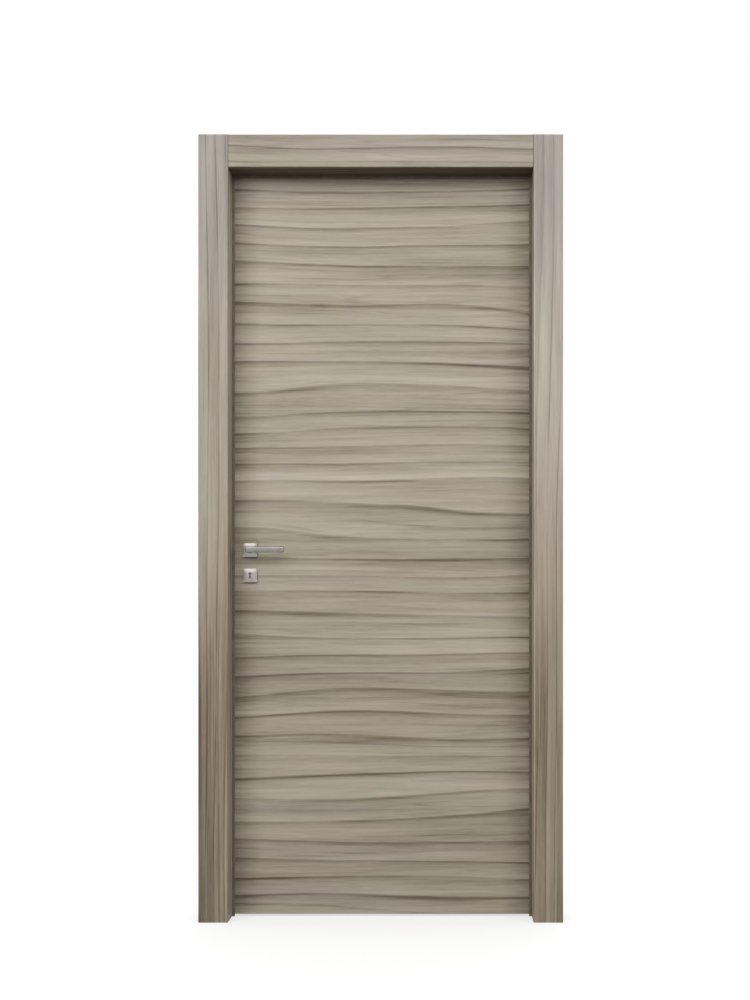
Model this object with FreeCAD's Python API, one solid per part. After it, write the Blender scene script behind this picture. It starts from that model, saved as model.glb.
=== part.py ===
import FreeCAD, Part
import math
import os

# A flush hollow core door in its frame, closed: jambs with planted stops and seals, flat
# architraves on both sides of the wall, and a hinged leaf with a lock and lever handles.
# Millimetres, +Z up. The front faces -Y and the leaf swings away from it, towards +Y. The
# origin is the middle of the foot of the hinge jamb, on the floor.

# The doorway
PASSAGE_WIDTH = 850.0
PASSAGE_HEIGHT = 2100.0
WALL_DEPTH = 105.0

# The jambs
JAMB_THICKNESS = 40.0
STOP_DEPTH = 13.0

# The architraves, with a tongue let into the jambs
ARCHITRAVE_THICKNESS = 10.0
SIDE_ARCHITRAVE_WIDTH = 82.0
HEAD_ARCHITRAVE_WIDTH = 90.0
ARCHITRAVE_EDGE_RADIUS = 1.5
REAR_ARCHITRAVE_SETBACK = 10.0
TONGUE_OFFSET = 26.0
TONGUE_THICKNESS = 4.0
TONGUE_LENGTH = 18.0
TONGUE_SIDE_CLEARANCE = 0.1
TONGUE_END_CLEARANCE = 1.0

# The seals, in a groove in the stops
SEAL_THICKNESS = 3.7
SEAL_LIP = 8.0
SEAL_LIP_RADIUS = 1.6
SEAL_FLANGE = 11.0
SEAL_STEM_OFFSET = 5.0
SEAL_STEM_WIDTH = 2.8
SEAL_STEM_LENGTH = 5.5
SEAL_GROOVE_CLEARANCE = 0.1
SEAL_TO_LEAF = 0.3

# The leaf
LEAF_THICKNESS = 44.0
HINGE_GAP = 3.0
LOCK_GAP = 5.0
TOP_GAP = 5.0
FLOOR_GAP = 6.0
SKIN_THICKNESS = 4.0
EDGE_BAND_THICKNESS = 1.5
STILE_WIDTH = 40.0
TOP_RAIL_HEIGHT = 40.0
BOTTOM_RAIL_HEIGHT = 60.0
LOCK_BLOCK_WIDTH = 80.0
LOCK_BLOCK_HEIGHT = 340.0
CELL_WIDTH = 180.0
CELL_WALL = 1.5

# The hinges
HINGE_HEIGHT = 100.0
HINGE_TOP_MARGIN = 170.0
HINGE_BOTTOM_MARGIN = 225.0
HINGE_PLATE_WIDTH = 32.0
HINGE_PLATE_THICKNESS = 2.5
HINGE_AXIS_OFFSET = 8.0
KNUCKLE_RADIUS = 6.0
KNUCKLE_COUNT = 3
KNUCKLE_GAP = 0.3
PIN_RADIUS = 3.0
PIN_RUNNING_CLEARANCE = 0.1
PIN_TIP_HEIGHT = 3.0
PIN_TIP_CHAMFER = 1.5

# The lock
HANDLE_HEIGHT = 1038.0
BACKSET = 60.0
KEY_PLATE_DROP = 72.0
KEYHOLE_RISE = 5.0
KEYHOLE_RADIUS = 4.0
KEYHOLE_SLOT_WIDTH = 3.4
KEYHOLE_SLOT_LENGTH = 13.0
KEYHOLE_CUT_CLEARANCE = 1.0
FACEPLATE_WIDTH = 20.0
FACEPLATE_HEIGHT = 235.0
FACEPLATE_THICKNESS = 3.0
LOCK_CASE_DEPTH = 85.0
LOCK_CASE_HEIGHT = 165.0
LOCK_CASE_THICKNESS = 15.0
BOLT_LENGTH = 40.0
BOLT_CLEARANCE = 0.2
LATCH_WIDTH = 12.0
LATCH_HEIGHT = 26.0
DEAD_BOLT_WIDTH = 8.0
DEAD_BOLT_HEIGHT = 34.0
DEAD_BOLT_DROP = 67.0

# The strike plate in the lock jamb
STRIKE_WIDTH = 24.0
STRIKE_HEIGHT = 200.0
STRIKE_THICKNESS = 2.5
STRIKE_LIP_HEIGHT = 50.0
STRIKE_HOLE_MARGIN = 2.5
STRIKE_POCKET_DEPTH = 12.0

# The lever handles
ROSETTE_SIDE = 39.0
ROSETTE_SKIRT = 6.0
ROSETTE_HEIGHT = 9.0
ROSETTE_BEVEL = 10.0
SPINDLE_WIDTH = 8.0
SPINDLE_FIT = 0.05
SPINDLE_HOLE_CLEARANCE = 1.0
SPINDLE_REACH = 26.0
SOCKET_END_CLEARANCE = 0.5
NECK_RADIUS = 8.0
NECK_RUNNING_CLEARANCE = 0.3
NECK_TO_LEAF = 0.5
LEVER_PROJECTION = 52.0
LEVER_THICKNESS = 9.0
LEVER_BAR_HEIGHT = 17.0
LEVER_REACH = 101.0
LEVER_ELBOW_RADIUS = 14.0
LEVER_EDGE_CHAMFER = 1.5

# Places that follow from the sizes above
FRONT_Y = -WALL_DEPTH / 2
REAR_Y = WALL_DEPTH / 2
HINGE_FACE_X = -JAMB_THICKNESS / 2
LOCK_FACE_X = HINGE_FACE_X - PASSAGE_WIDTH
HINGE_REBATE_X = HINGE_FACE_X + STOP_DEPTH
LOCK_REBATE_X = LOCK_FACE_X - STOP_DEPTH
JAMB_TOP_Z = PASSAGE_HEIGHT + JAMB_THICKNESS
ARCHITRAVE_TOP_Z = PASSAGE_HEIGHT + HEAD_ARCHITRAVE_WIDTH
REAR_ARCHITRAVE_INNER = STOP_DEPTH + REAR_ARCHITRAVE_SETBACK

LEAF_REAR_Y = REAR_Y
LEAF_FRONT_Y = LEAF_REAR_Y - LEAF_THICKNESS
LEAF_MIDDLE_Y = (LEAF_FRONT_Y + LEAF_REAR_Y) / 2
SHOULDER_Y = LEAF_FRONT_Y - SEAL_TO_LEAF - SEAL_THICKNESS
LEAF_HINGE_X = HINGE_REBATE_X - HINGE_GAP
LEAF_LOCK_X = LOCK_REBATE_X + LOCK_GAP
LEAF_BOTTOM_Z = FLOOR_GAP
LEAF_TOP_Z = PASSAGE_HEIGHT + STOP_DEPTH - TOP_GAP
CORE_FRONT_Y = LEAF_FRONT_Y + SKIN_THICKNESS
CORE_REAR_Y = LEAF_REAR_Y - SKIN_THICKNESS
HINGE_BAND_X = LEAF_HINGE_X - EDGE_BAND_THICKNESS
LOCK_BAND_X = LEAF_LOCK_X + EDGE_BAND_THICKNESS
HINGE_STILE_X = HINGE_BAND_X - STILE_WIDTH
LOCK_STILE_X = LOCK_BAND_X + STILE_WIDTH
TOP_RAIL_Z = LEAF_TOP_Z - TOP_RAIL_HEIGHT
BOTTOM_RAIL_Z = LEAF_BOTTOM_Z + BOTTOM_RAIL_HEIGHT

PIVOT_X = (HINGE_REBATE_X + LEAF_HINGE_X) / 2
PIVOT_Y = REAR_Y + HINGE_AXIS_OFFSET
UPPER_HINGE_Z = LEAF_TOP_Z - HINGE_TOP_MARGIN - HINGE_HEIGHT
LOWER_HINGE_Z = LEAF_BOTTOM_Z + HINGE_BOTTOM_MARGIN
MIDDLE_HINGE_Z = (UPPER_HINGE_Z + LOWER_HINGE_Z) / 2

HANDLE_X = LEAF_LOCK_X + BACKSET
KEY_PLATE_Z = HANDLE_HEIGHT - KEY_PLATE_DROP
KEYHOLE_Z = KEY_PLATE_Z + KEYHOLE_RISE
LOCK_MIDDLE_Z = (HANDLE_HEIGHT + KEY_PLATE_Z) / 2
DEAD_BOLT_Z = HANDLE_HEIGHT - DEAD_BOLT_DROP
SPINDLE_HOLE_RADIUS = SPINDLE_WIDTH / math.sqrt(2) + SPINDLE_HOLE_CLEARANCE

Y_AXIS = FreeCAD.Vector(0, 1, 0)
Z_AXIS = FreeCAD.Vector(0, 0, 1)

# How near a point counts as on a plane, how near a direction counts as parallel, and how far a
# cutting tool runs past the face that it cuts
ON_PLANE = 0.01
PARALLEL = 1e-6
OVERRUN = 1.0


def box(x, y, z):
    """A block between two bounds along each axis, each pair in either order."""
    lows = FreeCAD.Vector(min(x), min(y), min(z))
    return Part.makeBox(abs(x[1] - x[0]), abs(y[1] - y[0]), abs(z[1] - z[0]), lows)


def centred(middle, width):
    """The two bounds of a width about its middle."""
    return (middle - width / 2, middle + width / 2)


def prism(points, travel):
    """A closed outline of straight edges, extruded."""
    return Part.Face(Part.makePolygon(points + points[:1])).extrude(travel)


def edges_along(shape, direction, test):
    """The straight edges parallel to a direction whose middle passes a test."""
    found = []
    for edge in shape.Edges:
        straight = edge.Curve.TypeId == "Part::GeomLine"
        if straight and edge.Curve.Direction.cross(direction).Length < PARALLEL:
            if test(edge.CenterOfMass):
                found.append(edge)
    return found


# Each side of the frame is drawn as one section, in its distance out from the passage face and
# its depth through the wall, which runs along that side.

def hinge_side(out, depth, along):
    """A point of the hinge side's section."""
    return FreeCAD.Vector(HINGE_FACE_X + out, depth, along)


def lock_side(out, depth, along):
    """A point of the lock side's section."""
    return FreeCAD.Vector(LOCK_FACE_X - out, depth, along)


def head_side(out, depth, along):
    """A point of the head's section."""
    return FreeCAD.Vector(along, depth, PASSAGE_HEIGHT + out)


def run(section, side, start, end):
    """A section run along one side of the frame."""
    points = [side(out, depth, start) for out, depth in section]
    return prism(points, side(0, 0, end) - side(0, 0, start))


def slab(outs, depths, side, start, end):
    """A flat strip along one side of the frame."""
    corners = [side(outs[0], depths[0], start), side(outs[1], depths[1], end)]
    return box(*[(corners[0][axis], corners[1][axis]) for axis in range(3)])


# Jambs

def jamb_section():
    """The flat board of a jamb, with a groove in each edge for an architrave's tongue."""
    tongue = (TONGUE_OFFSET - TONGUE_SIDE_CLEARANCE,
              TONGUE_OFFSET + TONGUE_THICKNESS + TONGUE_SIDE_CLEARANCE)
    tongue_depth = TONGUE_LENGTH + TONGUE_END_CLEARANCE
    return [
        (STOP_DEPTH, FRONT_Y), (STOP_DEPTH, REAR_Y),
        (tongue[0], REAR_Y), (tongue[0], REAR_Y - tongue_depth),
        (tongue[1], REAR_Y - tongue_depth), (tongue[1], REAR_Y),
        (JAMB_THICKNESS, REAR_Y), (JAMB_THICKNESS, FRONT_Y),
        (tongue[1], FRONT_Y), (tongue[1], FRONT_Y + tongue_depth),
        (tongue[0], FRONT_Y + tongue_depth), (tongue[0], FRONT_Y),
    ]


def stop_section():
    """The stop planted on a jamb's board, with a groove for the seal."""
    seal = (SEAL_STEM_OFFSET - SEAL_GROOVE_CLEARANCE,
            SEAL_STEM_OFFSET + SEAL_STEM_WIDTH + SEAL_GROOVE_CLEARANCE)
    seal_bottom = SHOULDER_Y - SEAL_STEM_LENGTH - SEAL_GROOVE_CLEARANCE
    return [
        (0, FRONT_Y), (0, SHOULDER_Y),
        (seal[0], SHOULDER_Y), (seal[0], seal_bottom),
        (seal[1], seal_bottom), (seal[1], SHOULDER_Y),
        (STOP_DEPTH, SHOULDER_Y), (STOP_DEPTH, FRONT_Y),
    ]


def jambs():
    """The three jambs, with recesses for the hinges and the strike plate."""
    hinge_jamb = run(jamb_section(), hinge_side, 0, JAMB_TOP_Z)
    for recess in hinge_recesses(HINGE_REBATE_X, HINGE_PLATE_THICKNESS):
        hinge_jamb = hinge_jamb.cut(recess)
    lock_jamb = run(jamb_section(), lock_side, 0, JAMB_TOP_Z).cut(strike_plate_space())
    for pocket in strike_holes(STRIKE_POCKET_DEPTH):
        lock_jamb = lock_jamb.cut(pocket)
    return {
        "hinge_jamb": hinge_jamb,
        "lock_jamb": lock_jamb,
        "head_jamb": run(jamb_section(), head_side, LOCK_REBATE_X, HINGE_REBATE_X),
    }


def stops():
    """The three stops: the head's runs between the side ones."""
    height = PASSAGE_HEIGHT + STOP_DEPTH
    return {
        "hinge_jamb_stop": run(stop_section(), hinge_side, 0, height),
        "lock_jamb_stop": run(stop_section(), lock_side, 0, height),
        "head_jamb_stop": run(stop_section(), head_side, LOCK_FACE_X, HINGE_FACE_X),
    }


# Architraves

def architrave(side, outs, face, outward, length, tongue_length):
    """A flat architrave on one face of the wall, with its tongue in the jamb's groove."""
    front = face + outward * ARCHITRAVE_THICKNESS
    board = slab(outs, (face, front), side, *length)
    along = side(0, 0, 1) - side(0, 0, 0)
    edges = edges_along(board, along, lambda middle: abs(middle.y - front) < ON_PLANE)
    board = board.makeFillet(ARCHITRAVE_EDGE_RADIUS, edges)
    tongue = (TONGUE_OFFSET, TONGUE_OFFSET + TONGUE_THICKNESS)
    depths = (face, face - outward * TONGUE_LENGTH)
    return board.fuse(slab(tongue, depths, side, *tongue_length)).removeSplitter()


def front_architraves():
    """The three front architraves: the head butts between the full-height sides."""
    sides = (0, SIDE_ARCHITRAVE_WIDTH)
    head = (0, HEAD_ARCHITRAVE_WIDTH)
    height = (0, ARCHITRAVE_TOP_Z)
    tongue = (0, JAMB_TOP_Z)
    width = (LOCK_FACE_X, HINGE_FACE_X)
    return {
        "front_architrave_lock_side": architrave(lock_side, sides, FRONT_Y, -1, height, tongue),
        "front_architrave_hinge_side": architrave(hinge_side, sides, FRONT_Y, -1, height, tongue),
        "front_architrave_head": architrave(head_side, head, FRONT_Y, -1, width, width),
    }


def rear_architraves():
    """The three rear architraves, set back round the hinge knuckles."""
    inner = REAR_ARCHITRAVE_INNER
    sides = (inner, SIDE_ARCHITRAVE_WIDTH)
    head = (inner, HEAD_ARCHITRAVE_WIDTH)
    height = (0, ARCHITRAVE_TOP_Z)
    tongue = (0, JAMB_TOP_Z)
    width = (LOCK_FACE_X - inner, HINGE_FACE_X + inner)
    head_tongue = (LOCK_REBATE_X, HINGE_REBATE_X)
    return {
        "rear_architrave_lock_side": architrave(lock_side, sides, REAR_Y, 1, height, tongue),
        "rear_architrave_hinge_side": architrave(hinge_side, sides, REAR_Y, 1, height, tongue),
        "rear_architrave_head": architrave(head_side, head, REAR_Y, 1, width, head_tongue),
    }


# Seals

def seal(side, length, stem_length):
    """A seal strip: a rounded lip past the stop's face, and a stem in the stop's groove."""
    front = SHOULDER_Y
    strip = slab((-SEAL_LIP, SEAL_FLANGE), (front, front + SEAL_THICKNESS), side, *length)
    tip = side(-SEAL_LIP, 0, 0)
    along = side(0, 0, 1) - side(0, 0, 0)
    out = side(1, 0, 0) - side(0, 0, 0)
    edges = edges_along(strip, along, lambda middle: abs((middle - tip).dot(out)) < ON_PLANE)
    strip = strip.makeFillet(SEAL_LIP_RADIUS, edges)
    stem = (SEAL_STEM_OFFSET, SEAL_STEM_OFFSET + SEAL_STEM_WIDTH)
    return strip.fuse(slab(stem, (front, front - SEAL_STEM_LENGTH), side, *stem_length))


def seals():
    """The head seal across the doorway, and a side seal under each of its ends."""
    under_head = (0, PASSAGE_HEIGHT - SEAL_LIP)
    across = (LOCK_FACE_X - SEAL_FLANGE, HINGE_FACE_X + SEAL_FLANGE)
    return {
        "lock_side_seal": seal(lock_side, under_head, under_head),
        "hinge_side_seal": seal(hinge_side, under_head, under_head),
        "head_seal": seal(head_side, across, (LOCK_FACE_X, HINGE_FACE_X)),
    }


# Hinges

def hinge_knuckle(bottom, index, bore):
    """One knuckle of a hinge, counted from its bottom, with the tongue that joins its plate."""
    pitch = HINGE_HEIGHT / KNUCKLE_COUNT
    low = bottom + index * pitch + KNUCKLE_GAP / 2
    height = pitch - KNUCKLE_GAP
    place = FreeCAD.Vector(PIVOT_X, PIVOT_Y, low)
    on_leaf = index % 2 == 1
    face = LEAF_HINGE_X if on_leaf else HINGE_REBATE_X
    inward = -HINGE_PLATE_THICKNESS if on_leaf else HINGE_PLATE_THICKNESS
    tongue = box((face, face + inward), (REAR_Y, PIVOT_Y), (low, low + height))
    barrel = Part.makeCylinder(KNUCKLE_RADIUS, height, place)
    return barrel.fuse(tongue).cut(Part.makeCylinder(bore, height, place))


def hinge_plate(face, inward, bottom, indexes, bore):
    """A hinge plate let flush into its edge, with its knuckles."""
    plate = box((face, face + inward), (REAR_Y - HINGE_PLATE_WIDTH, REAR_Y),
                (bottom, bottom + HINGE_HEIGHT))
    for index in indexes:
        plate = plate.fuse(hinge_knuckle(bottom, index, bore))
    return plate.removeSplitter()


def hinge_pin(bottom):
    """The turned pin through the knuckles, with a chamfered tip on each end."""
    low = bottom + KNUCKLE_GAP / 2
    high = bottom + HINGE_HEIGHT - KNUCKLE_GAP / 2
    flat = KNUCKLE_RADIUS - PIN_TIP_CHAMFER
    profile = [
        (0, low - PIN_TIP_HEIGHT), (flat, low - PIN_TIP_HEIGHT),
        (KNUCKLE_RADIUS, low - PIN_TIP_HEIGHT + PIN_TIP_CHAMFER), (KNUCKLE_RADIUS, low),
        (PIN_RADIUS, low), (PIN_RADIUS, high),
        (KNUCKLE_RADIUS, high), (KNUCKLE_RADIUS, high + PIN_TIP_HEIGHT - PIN_TIP_CHAMFER),
        (flat, high + PIN_TIP_HEIGHT), (0, high + PIN_TIP_HEIGHT),
    ]
    points = [FreeCAD.Vector(PIVOT_X + radius, PIVOT_Y, z) for radius, z in profile]
    outline = Part.Face(Part.makePolygon(points + points[:1]))
    return outline.revolve(FreeCAD.Vector(PIVOT_X, PIVOT_Y, 0), Z_AXIS, 360)


def hinges():
    """Three butt hinges: a plate on the jamb, a plate on the leaf and a pin in each."""
    pieces = {}
    heights = {"upper": UPPER_HINGE_Z, "middle": MIDDLE_HINGE_Z, "lower": LOWER_HINGE_Z}
    for name, bottom in heights.items():
        pieces[f"{name}_hinge_jamb_plate"] = hinge_plate(
            HINGE_REBATE_X, HINGE_PLATE_THICKNESS, bottom, range(0, KNUCKLE_COUNT, 2), PIN_RADIUS)
        pieces[f"{name}_hinge_leaf_plate"] = hinge_plate(
            LEAF_HINGE_X, -HINGE_PLATE_THICKNESS, bottom, range(1, KNUCKLE_COUNT, 2),
            PIN_RADIUS + PIN_RUNNING_CLEARANCE)
        pieces[f"{name}_hinge_pin"] = hinge_pin(bottom)
    return pieces


def hinge_recesses(face, inward):
    """The shallow recesses that the hinge plates are let into."""
    return [
        box((face, face + inward), (REAR_Y - HINGE_PLATE_WIDTH, REAR_Y),
            (bottom, bottom + HINGE_HEIGHT))
        for bottom in (UPPER_HINGE_Z, MIDDLE_HINGE_Z, LOWER_HINGE_Z)
    ]


# Holes through the leaf

def spindle_hole(depths, radius):
    """A round hole about the handles' axis."""
    start = FreeCAD.Vector(HANDLE_X, depths[0], HANDLE_HEIGHT)
    return Part.makeCylinder(radius, depths[1] - depths[0], start, Y_AXIS)


def keyhole(depths, grow):
    """A keyhole: a round head over a slot, grown by a clearance."""
    start = FreeCAD.Vector(HANDLE_X, depths[0], KEYHOLE_Z)
    head = Part.makeCylinder(KEYHOLE_RADIUS + grow, depths[1] - depths[0], start, Y_AXIS)
    slot = box(centred(HANDLE_X, KEYHOLE_SLOT_WIDTH + 2 * grow), depths,
               (KEYHOLE_Z - KEYHOLE_SLOT_LENGTH - grow, KEYHOLE_Z))
    return head.fuse(slot)


def pierced(shape):
    """A piece of the leaf with the spindle's and the key's holes through it."""
    depths = (LEAF_FRONT_Y - OVERRUN, LEAF_REAR_Y + OVERRUN)
    shape = shape.cut(spindle_hole(depths, SPINDLE_HOLE_RADIUS))
    return shape.cut(keyhole(depths, KEYHOLE_CUT_CLEARANCE))


# Lock

def lock_faceplate_space():
    """The space of the lock's faceplate in the leaf's edge."""
    return box((LEAF_LOCK_X, LEAF_LOCK_X + FACEPLATE_THICKNESS),
               centred(LEAF_MIDDLE_Y, FACEPLATE_WIDTH), centred(LOCK_MIDDLE_Z, FACEPLATE_HEIGHT))


def lock_case_space():
    """The space of the lock case behind its faceplate."""
    front = LEAF_LOCK_X + FACEPLATE_THICKNESS
    return box((front, front + LOCK_CASE_DEPTH),
               centred(LEAF_MIDDLE_Y, LOCK_CASE_THICKNESS),
               centred(LOCK_MIDDLE_Z, LOCK_CASE_HEIGHT))


def bolt_body(width, height, middle, clearance):
    """A withdrawn bolt, with its end flush with the faceplate, or the space round it."""
    return box((LEAF_LOCK_X, LEAF_LOCK_X + BOLT_LENGTH + clearance),
               centred(LEAF_MIDDLE_Y, width + 2 * clearance),
               centred(middle, height + 2 * clearance))


def lock():
    """The mortice lock: faceplate, case, latch bolt and dead bolt, both withdrawn."""
    latch = bolt_body(LATCH_WIDTH, LATCH_HEIGHT, HANDLE_HEIGHT, 0)
    latch_space = bolt_body(LATCH_WIDTH, LATCH_HEIGHT, HANDLE_HEIGHT, BOLT_CLEARANCE)
    dead = bolt_body(DEAD_BOLT_WIDTH, DEAD_BOLT_HEIGHT, DEAD_BOLT_Z, 0)
    dead_space = bolt_body(DEAD_BOLT_WIDTH, DEAD_BOLT_HEIGHT, DEAD_BOLT_Z, BOLT_CLEARANCE)
    return {
        "lock_faceplate": lock_faceplate_space().cut(latch_space).cut(dead_space),
        "lock_case": pierced(lock_case_space().cut(latch_space).cut(dead_space)),
        "latch_bolt": latch,
        "dead_bolt": dead,
    }


def strike_hole(width, height, middle, depth):
    """The hole for one bolt in the strike plate, or the pocket behind it in the jamb."""
    return box((LOCK_REBATE_X, LOCK_REBATE_X - depth),
               centred(LEAF_MIDDLE_Y, width + 2 * STRIKE_HOLE_MARGIN),
               centred(middle, height + 2 * STRIKE_HOLE_MARGIN))


def strike_holes(depth):
    """The holes for the latch bolt and the dead bolt."""
    return [
        strike_hole(LATCH_WIDTH, LATCH_HEIGHT, HANDLE_HEIGHT, depth),
        strike_hole(DEAD_BOLT_WIDTH, DEAD_BOLT_HEIGHT, DEAD_BOLT_Z, depth),
    ]


def strike_plate_space():
    """The strike plate, with a lip that carries the latch bolt in over the jamb's edge."""
    inward = (LOCK_REBATE_X - STRIKE_THICKNESS, LOCK_REBATE_X)
    plate = box(inward, centred(LEAF_MIDDLE_Y, STRIKE_WIDTH),
                centred(LOCK_MIDDLE_Z, STRIKE_HEIGHT))
    lip = box(inward, (LEAF_MIDDLE_Y, REAR_Y), centred(HANDLE_HEIGHT, STRIKE_LIP_HEIGHT))
    return plate.fuse(lip).removeSplitter()


def strike():
    """The strike plate with its two holes."""
    plate = strike_plate_space()
    for hole in strike_holes(STRIKE_THICKNESS):
        plate = plate.cut(hole)
    return {"strike_plate": plate}


# Leaf

def honeycomb_core(block):
    """A sheet of hexagonal cells between the stiles and rails, round the lock block."""
    depths = (CORE_FRONT_Y, CORE_REAR_Y)
    across = (LOCK_STILE_X, HINGE_STILE_X)
    height = (BOTTOM_RAIL_Z, TOP_RAIL_Z)
    inside = box((across[0] + CELL_WALL, across[1] - CELL_WALL), depths,
                 (height[0] + CELL_WALL, height[1] - CELL_WALL))
    inside = inside.cut(box((LOCK_STILE_X, LOCK_STILE_X + LOCK_BLOCK_WIDTH + CELL_WALL), depths,
                            centred(LOCK_MIDDLE_Z, LOCK_BLOCK_HEIGHT + 2 * CELL_WALL)))
    radius = CELL_WIDTH / 2 - CELL_WALL / math.sqrt(3)
    step_x = CELL_WIDTH * 0.75
    step_z = CELL_WIDTH * math.sqrt(0.75)
    cells = []
    for column in range(int((across[1] - across[0]) / step_x) + 2):
        for row in range(int((height[1] - height[0]) / step_z) + 2):
            shift = step_z / 2 if column % 2 else 0
            cells.append(hexagon(across[0] + column * step_x, height[0] + row * step_z + shift,
                                 radius, CORE_REAR_Y - CORE_FRONT_Y))
    hollow = Part.makeCompound(cells).common(inside)
    return box(across, depths, height).cut(block).cut(hollow)


def hexagon(x, z, radius, depth):
    """A hexagonal cell through the core."""
    corners = []
    for turn in range(6):
        angle = math.radians(60 * turn)
        corners.append(FreeCAD.Vector(x + radius * math.cos(angle), CORE_FRONT_Y,
                                      z + radius * math.sin(angle)))
    return prism(corners, Y_AXIS * depth)


def leaf():
    """The hollow leaf: two skins on stiles, rails, a lock block and a honeycomb core."""
    height = (LEAF_BOTTOM_Z, LEAF_TOP_Z)
    between_bands = (LOCK_BAND_X, HINGE_BAND_X)
    between_stiles = (LOCK_STILE_X, HINGE_STILE_X)
    core_depths = (CORE_FRONT_Y, CORE_REAR_Y)
    whole_depths = (LEAF_FRONT_Y, LEAF_REAR_Y)
    block = box((LOCK_STILE_X, LOCK_STILE_X + LOCK_BLOCK_WIDTH), core_depths,
                centred(LOCK_MIDDLE_Z, LOCK_BLOCK_HEIGHT))
    lock_space = lock_faceplate_space().fuse(lock_case_space())
    leaf_recesses = Part.makeCompound(hinge_recesses(LEAF_HINGE_X, -HINGE_PLATE_THICKNESS))
    skin = (between_bands, (LEAF_FRONT_Y, CORE_FRONT_Y), height)
    rear_skin = (between_bands, (CORE_REAR_Y, LEAF_REAR_Y), height)
    return {
        "leaf_front_skin": pierced(box(*skin)),
        "leaf_rear_skin": pierced(box(*rear_skin)).cut(leaf_recesses),
        "lock_stile": box((LOCK_BAND_X, LOCK_STILE_X), core_depths, height).cut(lock_space),
        "hinge_stile": box((HINGE_STILE_X, HINGE_BAND_X), core_depths, height).cut(leaf_recesses),
        "top_rail": box(between_stiles, core_depths, (TOP_RAIL_Z, LEAF_TOP_Z)),
        "bottom_rail": box(between_stiles, core_depths, (LEAF_BOTTOM_Z, BOTTOM_RAIL_Z)),
        "lock_block": pierced(block.cut(lock_space)),
        "honeycomb_core": honeycomb_core(block),
        "lock_edge_band": box((LEAF_LOCK_X, LOCK_BAND_X), whole_depths, height).cut(lock_space),
        "hinge_edge_band": box((HINGE_BAND_X, LEAF_HINGE_X), whole_depths,
                               height).cut(leaf_recesses),
    }


# Handles

def bevelled_plate(middle_z):
    """A square plate on the front skin, with wide bevels up to a small flat top."""
    skirt_y = LEAF_FRONT_Y - ROSETTE_SKIRT
    top_y = LEAF_FRONT_Y - ROSETTE_HEIGHT
    low_x, high_x = centred(HANDLE_X, ROSETTE_SIDE)
    low_z, high_z = centred(middle_z, ROSETTE_SIDE)
    skirt = box((low_x, high_x), (skirt_y, LEAF_FRONT_Y), (low_z, high_z))
    crown = Part.makeWedge(low_x, -skirt_y, low_z, low_z + ROSETTE_BEVEL, low_x + ROSETTE_BEVEL,
                           high_x, -top_y, high_z, high_z - ROSETTE_BEVEL,
                           high_x - ROSETTE_BEVEL)
    crown = crown.mirror(FreeCAD.Vector(), Y_AXIS)
    return skirt.fuse(crown).removeSplitter()


def front_rosette():
    """The plate that the front lever turns in."""
    depths = (LEAF_FRONT_Y - ROSETTE_HEIGHT - OVERRUN, LEAF_FRONT_Y + OVERRUN)
    bore = spindle_hole(depths, NECK_RADIUS + NECK_RUNNING_CLEARANCE)
    return bevelled_plate(HANDLE_HEIGHT).cut(bore)


def front_key_plate():
    """The plate round the front keyhole."""
    depths = (LEAF_FRONT_Y - ROSETTE_HEIGHT - OVERRUN, LEAF_FRONT_Y + OVERRUN)
    return bevelled_plate(KEY_PLATE_Z).cut(keyhole(depths, 0))


def lever_outline():
    """The lever seen from above: out from the leaf, round an elbow and along the leaf."""
    outer_x = HANDLE_X - NECK_RADIUS
    inner_x = HANDLE_X + NECK_RADIUS
    tip_x = HANDLE_X + LEVER_REACH
    front = LEAF_FRONT_Y - LEVER_PROJECTION
    back = front + LEVER_THICKNESS
    foot = LEAF_FRONT_Y - ROSETTE_HEIGHT - NECK_RUNNING_CLEARANCE
    inner_radius = LEVER_ELBOW_RADIUS - LEVER_THICKNESS / 2
    bend = 1 - math.sqrt(0.5)

    def point(x, y):
        return FreeCAD.Vector(x, y, HANDLE_HEIGHT - LEVER_BAR_HEIGHT / 2)

    outer_bend = Part.Arc(
        point(outer_x, front + LEVER_ELBOW_RADIUS),
        point(outer_x + LEVER_ELBOW_RADIUS * bend, front + LEVER_ELBOW_RADIUS * bend),
        point(outer_x + LEVER_ELBOW_RADIUS, front))
    inner_bend = Part.Arc(
        point(inner_x + inner_radius, back),
        point(inner_x + inner_radius * bend, back + inner_radius * bend),
        point(inner_x, back + inner_radius))
    return Part.Wire([
        Part.makeLine(point(outer_x, foot), point(outer_x, front + LEVER_ELBOW_RADIUS)),
        outer_bend.toShape(),
        Part.makeLine(point(outer_x + LEVER_ELBOW_RADIUS, front), point(tip_x, front)),
        Part.makeLine(point(tip_x, front), point(tip_x, back)),
        Part.makeLine(point(tip_x, back), point(inner_x + inner_radius, back)),
        inner_bend.toShape(),
        Part.makeLine(point(inner_x, back + inner_radius), point(inner_x, foot)),
        Part.makeLine(point(inner_x, foot), point(outer_x, foot)),
    ])


def spindle_bar(clearance, ends):
    """The square spindle between two depths, or its socket with a clearance round it."""
    width = SPINDLE_WIDTH + 2 * clearance
    return box(centred(HANDLE_X, width), ends, centred(HANDLE_HEIGHT, width))


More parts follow.
